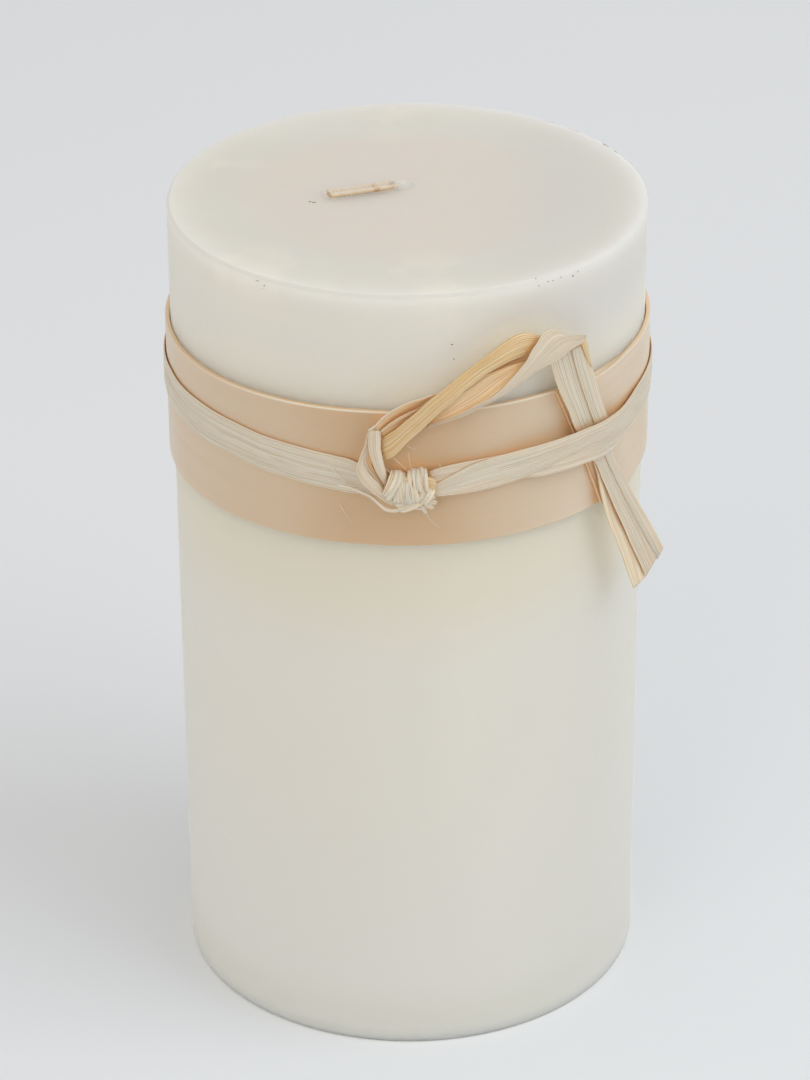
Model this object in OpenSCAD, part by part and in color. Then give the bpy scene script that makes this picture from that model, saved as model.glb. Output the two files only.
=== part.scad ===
// Pillar candle with a lapped veneer band and a knotted raffia tie.
// Z is up, the foot of the wax stands on z = 0, and the knot faces -Y.
// Azimuths are measured from -Y towards +X, and heights on the tie from the band's middle.

/* [Wax pillar] */
// Diameter of the wax
candle_d = 82.5; // [78:0.5:90]
// Height of the wax
candle_h = 148; // [144:1:160]
// Radius of the eased edges at the top and foot
edge_r = 0.8; // [0.4:0.1:1.5]

/* [Wick] */
// Width of the flat braid
wick_w = 2.4; // [2:0.1:2.5]
// Thickness of the braid
wick_t = 1.1; // [0.9:0.1:1.2]
// Length of the tip that is folded over on the wax
tip_l = 12.8; // [9:0.1:15]
// Direction of the folded tip, anticlockwise from +X
tip_dir = 198.5; // [180:0.5:210]
// Depth that the folded tip is pressed into the wax
tip_sink = 0.3; // [0.2:0.05:0.4]
// Place of the wick along X
wick_x = -1.1; // [-4:0.1:4]
// Place of the wick along Y
wick_y = 3.4; // [-4:0.1:4]

/* [Wick clip] */
// Diameter of the clip's disc
clip_d = 20; // [16:1:24]
// Thickness of the clip's disc
clip_t = 0.5; // [0.3:0.1:0.8]
// Height of the crimped neck above the foot
clip_h = 6.5; // [5:0.5:9]
// Wall of the crimped neck
clip_wall = 0.5; // [0.3:0.1:0.8]

/* [Veneer band] */
// Height of the band
band_w = 25; // [20:1:28]
// Thickness of the veneer
band_t = 0.8; // [0.5:0.1:0.9]
// Height of the band's middle above the foot
band_mid = 114.8; // [100:0.1:118]
// Gap between the wax and the band
band_gap = 0.1; // [0.05:0.01:0.1]
// Azimuth of the slanted end at the band's upper edge
seam_top_az = 35.6; // [33:0.1:38]
// Azimuth of the slanted end at the band's lower edge
seam_low_az = 50.8; // [46:0.1:52]
// Thickness of the glue between the lapped ends
glue_t = 0.1; // [0.05:0.01:0.12]

/* [Raffia tie] */
// Thickness of one raffia ply
ply_t = 0.4; // [0.3:0.05:0.45]
// Gap between the two plies of the strap
ply_gap = 0.15; // [0.12:0.01:0.2]

/* [Hidden] */
$fn = 96;

wax_r = candle_d / 2;
band_in = wax_r + band_gap;
band_low = band_mid - band_w / 2;

// Wick: the tip turns about a line at the wax's top, a little in front of the core's middle
tip_rise = wick_t - tip_sink;
hinge_shift = wick_t / 2 - tip_sink;
tip_start = 0.4;
groove_gap = 0.1;
neck_r = norm([wick_w, wick_t]) / 2 + 0.06 + clip_wall;
clip_fit = 0.02;

// Band: the outer end laps over the inner end, then steps down beside it
lap_end_az = 57;
step_end_az = 65;
inner_end_az = 55;
// The step's slab is a little thinner than the veneer and runs into it at both ends
step_run_in = 1;
step_inset = 0.05;
lap_lift = band_t + glue_t;

// Sides and rings of the swept raffia
RIBBON_SIDES = 8;
RING_STEPS = 3;
STRAP_RINGS = 60;
TURN_RINGS = 16;

// Strap: azimuth against height, standoff from the wax and width
STRAP_RISE = [[4, -0.6], [14, 0.3], [25, 1.8], [34, 2.4], [42, 2.8], [52, 2.7], [60, 2.5], [76, 2.6],
              [180, 1.9], [270, 3], [298, 2.8], [315, 2.6], [331, 1.7], [346, 0.9], [356, 0]];
STRAP_STAND = [[4, 2.8], [10, 2.2], [24, 2], [34, 3.1], [41, 4.2], [53, 4.2], [61, 3.1], [70, 2],
               [351, 2], [356, 2.8]];
STRAP_WIDTH = [[4, 2.8], [9, 4.4], [16, 5.4], [42, 5.4], [60, 5.6], [180, 6.6], [285, 6.4], [331, 6],
               [346, 5.6], [351, 4.6], [356, 3]];
STRAP_FROM = 4;
STRAP_TO = 356;
// The inner ply hangs a little lower than the outer one
INNER_DROP = 1;

// Routes: azimuth, height, standoff, width and the azimuth that the flat side faces
LEAF_ROUTE = [[-3.5, -1, 3.2, 1.4, -4], [-5.5, 3, 3.6, 2, -6], [-7, 6, 4, 2.4, -8], [-7.5, 8.5, 4, 2.4, -8],
              [-7, 11, 3.6, 1.4, -6]];
UPPER_ROUTE = [[-5, 6.7, 2.75, 2.8, -5], [-3.4, 7.8, 3, 3.2, -4], [-1.2, 9.4, 3.3, 3.2, -1],
               [3.2, 13, 3.8, 3.2, 3], [8.4, 16.8, 3.9, 3.2, 8], [14.9, 20.8, 3.9, 3, 15],
               [18.2, 22.2, 3.8, 3.2, 18], [21.5, 23.3, 3.7, 3.8, 21], [25, 24, 3.6, 4.4, 25],
               [28.6, 23.4, 3.3, 4.4, 28], [32.2, 22.3, 2.8, 3.4, 32], [35.6, 21.4, 2.3, 2.4, 35],
               [37.4, 19.6, 2.2, 3.6, 37], [38.4, 16, 2.3, 6.2, 38], [41.4, 9.5, 2.4, 6.4, 41],
               [44.6, 3.4, 2.4, 6.4, 44], [48.2, -4, 2.5, 6.4, 47], [51, -9.6, 2.9, 6.4, 49],
               [53, -14.8, 3.7, 6.4, 50], [55, -20.4, 4.7, 6.4, 50], [58.6, -29, 5.8, 6.4, 50]];
LOWER_ROUTE = [[-2.2, -3.4, 3.2, 1.6, -3], [-4.3, -2.3, 3.8, 1.7, -4], [-7.2, -0.2, 4, 2.2, -7],
               [-9.2, 2.2, 3.8, 2.2, -9], [-9.9, 4.6, 3.3, 1.4, -10], [-8.8, 7.6, 3.1, 1.4, -9],
               [-7.2, 10, 3, 1.8, -7], [-4.2, 12.2, 2.7, 2.4, -4], [0.5, 13.6, 2.3, 2.6, 0],
               [5.5, 14, 1.9, 2.6, 5], [10.5, 14.8, 2.3, 3, 10], [15, 16, 3, 3.2, 15],
               [20, 17.6, 4.1, 3.2, 20], [25, 20, 4.8, 3.4, 26], [30, 22.6, 4.8, 4.4, 31],
               [35, 23.2, 4.4, 3.8, 35], [38.8, 22.4, 4, 2.4, 38], [39.8, 19.4, 3.4, 3.6, 39],
               [40.6, 15.6, 3.1, 6, 40], [42.6, 9.4, 3, 6.4, 42], [45.4, 3, 3, 6.4, 45],
               [48.6, -3, 3.1, 6.4, 48], [52.5, -9.5, 3.8, 6.4, 50], [56.5, -17, 5.4, 6.4, 51],
               [61, -26, 7.2, 6.4, 52]];
FRAY_ROUTE = [[3.2, -2.6, 2.9, 1.4, 3], [4.4, -3, 2.8, 2.6, 4], [5.6, -3.3, 2.7, 3.4, 5]];

// ---- Curves ----
function unit(v) = v / norm(v);
function outward(az) = [sin(az), -cos(az), 0];
function spot(row) = (wax_r + row[2]) * outward(row[0]) + [0, 0, band_mid + row[1]];

// Point at t between b and c on the smooth curve through a, b, c and d
function between(a, b, c, d, t) =
    b + (c - a) * t / 2 + (a - 2.5 * b + 2 * c - d / 2) * t * t + (1.5 * b - a / 2 - 1.5 * c + d / 2) * t * t * t;
function smooth(rows) = let (n = len(rows) - 1) [
    for (i = [0 : n - 1], k = [0 : RING_STEPS - 1])
        between(rows[max(i - 1, 0)], rows[i], rows[i + 1], rows[min(i + 2, n)], k / RING_STEPS),
    rows[n]];

// Flat oval ring round a point, across the direction of travel
function oval(centre, along, facing, wide, thick) = let (
        side = unit(cross(along, facing)),
        face = cross(side, unit(along)))
    [for (k = [0 : RIBBON_SIDES - 1]) let (a = 360 * (k + 0.5) / RIBBON_SIDES)
        centre + side * wide / 2 * cos(a) + face * thick / 2 * sin(a)];

// Triangles of the wall between ring i and ring j
function wall(i, j) = let (s = RIBBON_SIDES) [
    for (k = [0 : s - 1], half = [0, 1]) let (m = (k + 1) % s)
        half == 0 ? [i * s + k, j * s + m, j * s + k] : [i * s + k, i * s + m, j * s + m]];

// Ribbon along a list of rows
module ribbon(rows) {
    count = len(rows);
    points = [for (row = rows) spot(row)];
    rings = [for (i = [0 : count - 1])
        oval(points[i], points[min(i + 1, count - 1)] - points[max(i - 1, 0)], outward(rows[i][4]),
             rows[i][3], ply_t)];
    first = [for (k = [0 : RIBBON_SIDES - 1]) RIBBON_SIDES - 1 - k];
    last = [for (k = [0 : RIBBON_SIDES - 1]) (count - 1) * RIBBON_SIDES + k];
    walls = [for (i = [0 : count - 2]) each wall(i, i + 1)];
    polyhedron([for (ring = rings) each ring], concat([first, last], walls));
}

// Closed oval turn of the knot, standing round the strap and leaning about the outward line
module knot_turn(az, rise, stand, tall, deep, wide, thick, lean) {
    centre = spot([az, rise, stand]);
    out = outward(az);
    up = [cos(az) * sin(lean), sin(az) * sin(lean), cos(lean)];
    across = cross(up, out);
    rings = [for (i = [0 : TURN_RINGS - 1]) let (
            a = 360 * i / TURN_RINGS,
            reach = up * (tall - thick) / 2 * cos(a) + out * (deep - thick) / 2 * sin(a),
            along = cross(across, reach))
        oval(centre + reach, along, unit(reach), wide, thick)];
    walls = [for (i = [0 : TURN_RINGS - 1]) each wall(i, (i + 1) % TURN_RINGS)];
    polyhedron([for (ring = rings) each ring], walls);
}

// Rows of one ply of the strap
function strap_rows(lift, drop) = [
    for (i = [0 : STRAP_RINGS]) let (az = STRAP_FROM + (STRAP_TO - STRAP_FROM) * i / STRAP_RINGS)
        [az, lookup(az, STRAP_RISE) - drop, lookup(az, STRAP_STAND) - lift, lookup(az, STRAP_WIDTH), az]];

// ---- Wick ----
module at_wick(z, turn) {
    translate([wick_x, wick_y, z]) rotate([0, 0, turn]) children();
}

module wick_section(extra, height) {
    translate([-wick_t / 2 - extra, -wick_w / 2 - extra, 0])
        cube([wick_t + 2 * extra, wick_w + 2 * extra, height]);
}

// Shallow groove that the folded tip lies in
module tip_groove() {
    at_wick(candle_h - tip_sink - groove_gap, tip_dir)
        translate([-wick_t / 2, -wick_w / 2 - groove_gap, 0])
            cube([hinge_shift + wick_t / 2 + tip_start + tip_l + groove_gap, wick_w + 2 * groove_gap, wick_t]);
}

module wick_core() {
    color("wheat")
        at_wick(clip_t, tip_dir) wick_section(0, candle_h - tip_sink - groove_gap - clip_t);
}

// Free tip, folded over and lying in its groove
module wick_tip() {
    color("burlywood")
        at_wick(candle_h - tip_sink, tip_dir)
            translate([hinge_shift + tip_start, -wick_w / 2, 0])
                cube([tip_l, wick_w, wick_t]);
}

module wick_clip() {
    color("silver")
        at_wick(0, 0) difference() {
            union() {
                cylinder(d = clip_d, h = clip_t);
                cylinder(r = neck_r, h = clip_h);
            }
            translate([0, 0, clip_t]) cylinder(r = neck_r - clip_wall, h = clip_h);
        }
}

// ---- Wax ----
module eased_profile() {
    difference() {
        square([wax_r, candle_h]);
        for (foot = [0, 1])
            translate([wax_r - edge_r, foot == 1 ? edge_r : candle_h - edge_r])
                mirror([0, foot]) difference() {
                    square(edge_r + 1);
                    circle(r = edge_r);
                }
    }
}

module wax_pillar() {
    color("ivory")
        difference() {
            rotate_extrude() eased_profile();
            at_wick(clip_h, tip_dir) wick_section(0, candle_h);
            at_wick(-1, 0) cylinder(d = clip_d + 2 * clip_fit, h = 1 + clip_t);
            at_wick(-1, 0) cylinder(r = neck_r + clip_fit, h = 1 + clip_h);
            tip_groove();
        }
}

// ---- Band ----
// Ring sector between two azimuths
module sector(from_az, to_az, inner, thick, low, tall) {
    rotate([0, 0, from_az - 90])
        rotate_extrude(angle = to_az - from_az) translate([inner, low]) square([thick, tall]);
}

// Everything before the slanted end, as seen from outside
module before_seam() {
    mid_az = (seam_top_az + seam_low_az) / 2;
    slant = atan2(wax_r * (seam_low_az - seam_top_az) * PI / 180, band_w);
    reach = band_w + 20;
    translate([0, 0, band_mid]) rotate([0, 0, mid_az]) translate([0, -wax_r, 0])
        rotate([0, slant, 0]) translate([-reach, -wax_r / 2, -reach])
            cube([reach, wax_r, 2 * reach]);
}

module veneer_band() {
    color("tan") {
        sector(step_end_az, 360 + inner_end_az, band_in, band_t, band_low, band_w);
        translate([0, 0, band_low]) linear_extrude(band_w) polygon([
            for (corner = [[lap_end_az - step_run_in, lap_lift + step_inset],
                           [lap_end_az - step_run_in, lap_lift + band_t - step_inset],
                           [step_end_az + step_run_in, band_t - step_inset],
                           [step_end_az + step_run_in, step_inset]])
                let (out = outward(corner[0])) (band_in + corner[1]) * [out[0], out[1]]]);
        difference() {
            sector(seam_top_az - 8, lap_end_az, band_in + lap_lift, band_t, band_low, band_w);
            before_seam();
        }
    }
}

module lap_glue() {
    color("khaki")
        sector(seam_low_az + 3, inner_end_az - 3, band_in + band_t, glue_t, band_low + 3, band_w - 6);
}

// ---- Raffia ----
module strap_outer_ply() {
    color("antiquewhite") ribbon(strap_rows(0, 0));
}

module strap_inner_ply() {
    color("bisque") ribbon(strap_rows(ply_t + ply_gap, INNER_DROP));
}

module knot_left_turn() {
    color("linen") knot_turn(-2.6, 0, 3.2, 5.8, 4, 3, 1.5, 8);
}

module knot_right_turn() {
    color("linen") knot_turn(2.3, 0.8, 3.1, 4.8, 3.8, 2.6, 1.4, -6);
}

module knot_lower_turn() {
    color("linen") knot_turn(0.6, -3, 2.9, 3.6, 3.4, 3.6, 1.4, 70);
}

module knot_frayed_end() {
    color("cornsilk") ribbon(smooth(FRAY_ROUTE));
}

module loop_leaf() {
    color("blanchedalmond") ribbon(smooth(LEAF_ROUTE));
}

module upper_strand() {
    color("navajowhite") ribbon(smooth(UPPER_ROUTE));
}

module lower_strand() {
    color("moccasin") ribbon(smooth(LOWER_ROUTE));
}

wax_pillar();
wick_core();
wick_tip();
wick_clip();
veneer_band();
lap_glue();
strap_outer_ply();
strap_inner_ply();
knot_left_turn();
knot_right_turn();
knot_lower_turn();
knot_frayed_end();
loop_leaf();
upper_strand();
lower_strand();
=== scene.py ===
"""Looks of a wax pillar candle with a veneer band and a knotted raffia tie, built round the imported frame."""

import math

import bpy
import numpy as np
from mathutils import Matrix, Vector


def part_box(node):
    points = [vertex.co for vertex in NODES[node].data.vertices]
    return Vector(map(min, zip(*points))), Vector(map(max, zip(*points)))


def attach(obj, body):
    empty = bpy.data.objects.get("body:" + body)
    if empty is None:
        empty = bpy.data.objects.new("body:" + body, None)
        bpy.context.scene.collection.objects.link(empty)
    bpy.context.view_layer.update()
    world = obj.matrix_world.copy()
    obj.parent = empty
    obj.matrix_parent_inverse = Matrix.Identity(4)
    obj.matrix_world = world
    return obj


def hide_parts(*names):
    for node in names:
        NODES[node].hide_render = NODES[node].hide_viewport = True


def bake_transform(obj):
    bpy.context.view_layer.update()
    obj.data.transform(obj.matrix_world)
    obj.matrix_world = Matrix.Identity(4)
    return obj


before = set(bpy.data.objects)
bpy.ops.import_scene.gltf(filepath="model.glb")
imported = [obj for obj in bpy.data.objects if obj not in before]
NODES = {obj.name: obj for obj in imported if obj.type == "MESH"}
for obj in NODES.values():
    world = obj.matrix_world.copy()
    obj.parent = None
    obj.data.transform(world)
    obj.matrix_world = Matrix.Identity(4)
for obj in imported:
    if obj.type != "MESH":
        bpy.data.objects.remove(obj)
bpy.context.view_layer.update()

# Lengths below are millimetres; every mesh is made in metres by multiplying with MM.
MM = 0.001
wax_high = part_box("wax_pillar")[1]
band_low, band_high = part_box("veneer_band")
WAX_R = wax_high.x / MM
WAX_H = wax_high.z / MM
BAND_MID = (band_low.z + band_high.z) / 2 / MM
BAND_H = (band_high.z - band_low.z) / MM
BAND_GAP = 0.1
VENEER_T = 0.8
# How much further out the outer end of the veneer stands, over the inner end and the glue
LAP_LIFT = 0.9
# Spacing of the ribs along a leaf, and columns of faces for each millimetre of its width
RIDGE = 0.46
COLUMNS = 11


def rows_of(text):
    """A table from text: numbers stand between spaces and rows between commas."""
    return np.array([row.split() for row in text.split(",")], float)


# Routes of the two strands as in part.scad: azimuth in degrees from -Y towards +X, height above
# the band's middle and standoff from the wax.
UPPER_ROUTE = rows_of("""
    -5 6.7 2.75, -3.4 7.8 3, -1.2 9.4 3.3, 3.2 13 3.8, 8.4 16.8 3.9, 14.9 20.8 3.9, 18.2 22.2 3.8,
    21.5 23.3 3.7, 25 24 3.6, 28.6 23.4 3.3, 32.2 22.3 2.8, 35.6 21.4 2.3, 37.4 19.6 2.2, 38.4 16 2.3,
    41.4 9.5 2.4, 44.6 3.4 2.4, 48.2 -4 2.5, 51 -9.6 2.9, 53 -14.8 3.7, 55 -20.4 4.7, 58.6 -29 5.8""")
LOWER_ROUTE = rows_of("""
    -2.2 -3.4 3.2, -4.3 -2.3 3.8, -7.2 -0.2 4, -9.2 2.2 3.8, -9.9 4.6 3.3, -8.8 7.6 3.1, -7.2 10 3,
    -4.2 12.2 2.7, 0.5 13.6 2.3, 5.5 14 1.9, 10.5 14.8 2.3, 15 16 3, 20 17.6 4.1, 25 20 4.8, 30 22.6 4.8,
    35 23.2 4.4, 38.8 22.4 4, 39.8 19.4 3.4, 40.6 15.6 3.1, 42.6 9.4 3, 45.4 3 3, 48.6 -3 3.1, 52.5 -9.5 3.8,
    56.5 -17 5.4, 61 -26 7.2""")

# Leaves of the tie, each as rows of its two edges: azimuth, height and standoff of the one, then of the other.
STRAND_LEAF = rows_of("""
    -6.1 8.1 2.7 -5.5 4.4 2.6, -5.7 8.6 2.8 -4.9 4.4 2.7, -3.7 9.9 3 -3 5.3 3, -2.6 10.7 3.4 0.1 8.2 3.2,
    -0.4 12.5 3.7 2.4 10.1 3.5, 1.8 14.1 3.9 4.6 12 3.7, 4.5 16.2 4 7.1 14 3.8, 7.1 17.9 4 9.6 15.7 3.9,
    10.3 19.9 4 12.6 17.8 3.9, 14 22 3.9 15.8 19.6 3.9, 17 23.5 3.8 19.5 20.9 3.8, 20.1 25 3.7 23 21.7 3.8,
    23.4 26 3.6 26.7 21.9 3.6, 26.5 25.8 3.3 30.7 21 3.3, 29.9 24.6 2.9 34.4 20.1 2.8,
    34.5 23.3 2.4 38.4 20.3 2.4""")
UNDER_TAIL = rows_of("""
    40.4 21.6 2.2 34.8 20.7 2.2, 42.3 18.7 2.3 33.9 18.5 2.3, 43.6 14.4 2.4 35.2 14.7 2.4,
    45.6 9.6 2.4 37.8 9.5 2.4, 48.4 4.8 2.4 41.3 4.4 2.4, 53 -4.3 2.5 46.2 -4.2 2.5, 57.1 -10.6 3 47.9 -9.3 2.7,
    58.1 -13.5 3.3 48.9 -12.2 2.9, 58.9 -16.3 3.8 49.9 -15 3.1, 59.5 -20.8 4.9 51.7 -18.9 3.7,
    60.8 -25.1 5.6 53.5 -23.2 4.4, 60.9 -27.4 6 54.7 -26.6 5, 60.4 -28.7 6.2 56.3 -30 5.4""")
WRAP_LEAF = rows_of("""
    4 11 3 4 10.6 3, 7.8 12.2 3.3 8 11.7 3.3, 11.5 13.4 3.7 11.7 12.7 3.7, 14.2 14.7 4.1 14.9 14 4,
    17.1 15.7 4.4 18.1 15.2 4.2, 19.3 17 4.6 20.5 16.1 4.3, 20.9 18.4 4.8 22.7 17.1 4.4,
    22.7 19.7 4.9 25 18 4.5, 23.9 20.8 5 26.6 18.7 4.5, 25.1 22 5.1 28.4 19.2 4.6, 26 23.3 5.1 29.8 19.6 4.7,
    27.2 24.3 5 31.3 20 4.7, 28.8 25.6 4.7 33 20.4 4.7, 30.8 26 4.4 35.3 21.1 4.6, 32.8 25.6 4.2 37.2 21.4 4.5,
    35.6 23.9 4 38.8 21.6 4.3, 38.4 23.2 3.9 39.9 21.8 4.1, 40.3 22.7 3.8 40.7 22.1 3.9""")
INNER_FACE = rows_of("""
    3.3 11.1 1.9 4.3 10.7 2.7, 5.9 12.7 1.9 7.9 11.9 3, 8.7 14.5 1.9 11.1 12.9 3.3, 11.2 16.2 1.9 14.1 13.9 3.6,
    14.3 17.7 2 16.6 15.1 3.8, 16.4 19 2.4 19.4 16.8 4, 19.1 20 3 21.9 18.3 4, 22.4 20.6 3.2 24 19.7 4,
    25.7 20.8 3.3 26.2 20.6 3.8""")
INNER_PLY = rows_of("""
    6.7 14.9 1.3 8.2 12.2 1.3, 11.4 17.6 1.3 13.8 13.6 1.3, 15.2 19.8 1.4 18 16.3 1.6,
    20 21.4 1.5 22.5 18.1 1.8, 25 22 1.6 27.2 19.5 2, 29.4 21.5 1.6 30.2 19.6 1.8""")
TAIL_LEFT = rows_of("""
    31.7 19.9 2.8 39.9 20.6 2.89, 33.2 16.5 2.8 41.2 17 2.89, 34.9 12.8 2.8 43 12.9 2.89,
    37.2 9 2.8 45 8.7 2.89, 39.6 4.9 2.8 47.3 4.3 2.89, 45.8 -3.1 2.9 49.7 -2.1 2.91,
    48.4 -7.5 3.1 52.4 -6.3 3.27, 51.3 -12.6 3.6 55.5 -11.4 4.01, 54.3 -18 4.4 58.8 -16.8 5.21,
    56.9 -23.3 5.3 60.8 -21.3 6.67, 59.4 -28.5 6.4 61.9 -24.5 7.85""")
TAIL_RIGHT = rows_of("""
    37.5 20.4 3.07 42 20.8 3.18, 38.8 16.8 3.07 43.2 17.1 3.18, 40.6 12.9 3.07 45 12.9 3.18,
    42.6 8.8 3.07 46.9 8.6 3.18, 45 4.5 3.07 49.2 4.2 3.18, 48.5 -2.4 3.11 50.7 -1.8 3.18,
    51.2 -6.7 3.42 53.4 -6 3.58, 54.3 -11.8 4.09 56.6 -11.1 4.38, 57.5 -17.2 5.17 59.9 -16.5 5.68,
    59.8 -21.9 6.46 61.7 -20.8 7.28, 61.5 -25.8 7.62 62.3 -23.4 8.48""")
CORNER_FOLD = rows_of("""
    39.6 21.5 3.6 40.7 22.6 3.7, 40.3 20.3 3.5 41.5 20.6 3.6, 41.2 18.6 3.4 42.4 18.3 3.4,
    42.9 16.1 3.3 43.5 15.9 3.3""")
KNOT_LEAF = rows_of("""
    -8.2 10.8 3.9 -5.9 10.5 3.9, -8.4 9 4 -5.7 9.1 4, -8.4 7.5 4.1 -5.7 7.4 4, -8.1 6 4.1 -5.4 5.8 4,
    -7.4 4.2 4.1 -5 4.1 3.9, -6.8 2.9 4 -4.7 2.9 3.8, -6 1.6 3.8 -4.6 1.5 3.6, -5.1 0 3.4 -4.6 -0.2 3.3,
    -4.8 -0.8 3 -4.3 -1 2.9""")
LOOP_OUTER = rows_of("""
    -6.8 11.4 3.8 -5.9 10.1 3.2, -7.8 10.7 3.7 -6.6 9.2 3.3, -8.7 9.6 3.6 -7.4 8.1 3, -9.2 7.6 3.6 -8.3 6.9 3,
    -10 5.9 3.6 -9.1 5.4 3.1, -10.6 4.6 3.7 -9.4 4.3 3.3, -11.1 3.2 3.9 -8.8 3.1 3.5, -10.8 2 4.1 -7.8 2 3.7,
    -9.9 0.9 4.3 -6.7 1.1 3.8, -8.2 -0.4 4.4 -5.6 0.1 3.9, -6.1 -1.8 4.3 -4.2 -1.1 3.8,
    -4.3 -2.9 4 -2.7 -2.4 3.6, -2.7 -3.6 3.6 -1.6 -3 3.3""")
LOOP_INNER = rows_of("""
    -8 6.9 2.9 -6.7 5.8 2.7, -8.6 6.1 3 -7.4 4.9 2.8, -9.2 4.8 3.2 -7.9 4 2.9, -8.9 3.4 3.3 -7.4 2.8 3,
    -7.7 2.2 3.4 -6.4 1.3 3.1, -6.4 0.8 3.5 -5.3 0 3.2, -4.9 -0.6 3.4 -3.8 -1.6 3.2, -3.3 -2.3 3.2 -2.5 -3.1 3""")
LOOP_LOWEST = rows_of("""
    -15.5 -0.4 3 -15.5 -0.7 3, -12.6 -0.6 3.2 -12.6 -1 3.2, -10.4 -1 3.4 -10.4 -1.5 3.4,
    -8 -1.6 3.7 -8.1 -2.2 3.6, -6.5 -2.5 3.9 -6.7 -3.1 3.8, -4.8 -3.6 4 -5 -4.3 3.8, -3 -3.9 3.9 -3 -4.6 3.7,
    -1 -3.6 3.7 -1 -4.3 3.5, 1.1 -3.7 3.5 1.1 -4.2 3.3, 2.7 -4 3.3 2.7 -4.5 3.1""")
FOLD_UPPER = rows_of("""
    -8.3 10.5 3.9 -7.9 9.4 3.4, -6.8 11.5 4 -6 9.9 2.8, -5.5 12.8 4 -4.8 10.8 2.4, -3.3 14.2 3.9 -2.4 12.1 2.1,
    -0.3 15.5 3.7 0.4 13.3 1.9, 3.4 16.4 3.4 3.8 14.6 1.8, 5.8 16.9 3.1 6.6 15.6 1.8""")
FOLD_LOWER = rows_of("""
    -6 9.9 3.3 -5.8 8.2 2.2, -5.2 10.6 3.2 -4.9 8.4 1.9, -2.6 12.3 3.2 -1.5 9.8 1.7, 0.1 13.5 3.1 1.3 11.4 1.6,
    2.3 14.2 2.9 3.8 13.2 1.6""")
# Plies of the short cut end that fans out: azimuth, height, standoff, width and the azimuth that it faces
FRAY = [rows_of(text) for text in (
    "2.6 -1.6 3.6 0.8 3, 4.2 -1.9 3.9 0.9 4, 5.6 -2 3.6 0.5 5",
    "2.4 -2.2 3.4 0.9 3, 4.3 -2.7 3.6 1 4, 5.9 -3.2 3.3 0.7 5",
    "2.2 -2.8 3.2 0.9 3, 3.9 -3.5 3.4 1 4, 5.2 -4.3 3.1 0.7 5",
    "1.8 -3.1 3.1 0.8 3, 3 -4.1 3.3 0.8 4, 3.7 -5.2 3 0.5 5")]
# Filling in the middle of the knot, in the same columns
HEART = rows_of("""
    -5 -1.6 2.7 3.4 -5, -1.5 -0.6 3.6 4.4 -1, 1.8 0.1 3.7 4.4 2, 5 -0.6 2.9 3.4 5""")
# Turns of the knot: name, azimuth, height, standoff, height and depth of the ring, width, lean in degrees,
# plies, seed, looseness and the CAD node that it replaces
TURNS = [
    ("knot_left", -2.9, -0.1, 3, 5.6, 4.3, 3, 24, 6, 610, 1, "knot_left_turn"),
    ("knot_middle", -0.2, -0.6, 3.1, 5.2, 4.7, 3.2, -4, 6, 620, 1, None),
    ("knot_right", 2.3, 0.9, 3, 4.6, 4.2, 2.8, -10, 6, 630, 1.5, "knot_right_turn"),
    ("knot_lower", 0.1, -2.6, 2.8, 5.6, 3.4, 2.6, 66, 5, 640, 1, "knot_lower_turn"),
    ("knot_corner", 3.1, -1.4, 3, 3.8, 3.5, 2.4, 30, 5, 650, 1.6, None),
]
# Loose fibres: azimuth, height and standoff along each
FIBRES = [rows_of(text) for text in (
    "-3.3 4.9 2.4, -1.6 3.8 2.8, 0.6 2.3 3.4",
    "0 5.6 2.2, 0.2 4.4 2.8, 0.7 3.1 3.6",
    "-5.1 3.6 3.6, -3.8 3 4.2, -2.5 2 4.6",
    "3.2 -4.4 3.2, 3.9 -5.6 2.8, 4.8 -6.9 2.4, 6.8 -8.6 2.2",
    "-18 2.4 2, -14.6 0.1 2.3, -12.2 -1.3 2.6, -8.8 -2.5 3.2, -7.2 -3.4 3.6",
    "-15.8 -5 1.3, -14.2 -6.8 1.5, -12.6 -8.3 1.3",
    "-0.4 7.1 2, 0.6 6.5 2.1, 1.6 6.2 2",
    "6.9 3.4 2.2, 6.8 2.6 2.9",
    "14 24 3.2, 17 25.9 3.4, 20 26.9 3.6",
    "30 26.4 4.2, 33 27.3 4.6",
    "40.5 22.4 3.8, 41.4 23.9 4",
    "36 24.2 4.1, 38 24.6 4.3")]


# ---- camera
def make_camera():
    """Camera in front of the candle, nearly three of its heights up, looking down at it; lengths in metres."""
    place = Vector((0, -0.638, 0.4277))
    pitch, yaw, roll = (math.radians(angle) for angle in (28.556, -0.063, -0.338))
    data = bpy.data.cameras.new("camera")
    data.lens = 135.04
    data.sensor_width = 36
    data.clip_start = 0.01
    data.clip_end = 20
    camera = bpy.data.objects.new("camera", data)
    turn = Matrix.Rotation(-yaw, 4, "Z") @ Matrix.Rotation(math.pi / 2 - pitch, 4, "X")
    camera.matrix_world = Matrix.Translation(place) @ turn @ Matrix.Rotation(roll, 4, "Z")
    bpy.context.scene.collection.objects.link(camera)
    bpy.context.scene.camera = camera


# ---- curves and noise
def outward(az):
    """Unit vectors away from the candle's axis at azimuths in degrees from -Y towards +X."""
    a = np.radians(az)
    return np.stack([np.sin(a), -np.cos(a), np.zeros_like(a)], -1)


def spots(rows):
    """Points of rows of azimuth, height and standoff."""
    points = outward(rows[:, 0]) * (WAX_R + rows[:, 2])[:, None]
    points[:, 2] = BAND_MID + rows[:, 1]
    return points


def unit(v):
    return v / np.linalg.norm(v, axis=-1, keepdims=True)


def smooth(t):
    return t * t * (3 - 2 * t)


def table(az, rows, column=1):
    """One column of a table, between the azimuths in its first column."""
    return np.interp(az, rows[:, 0], rows[:, column])


def distance_along(points):
    return np.concatenate([[0], np.cumsum(np.linalg.norm(np.diff(points, axis=0), axis=1))])


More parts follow.
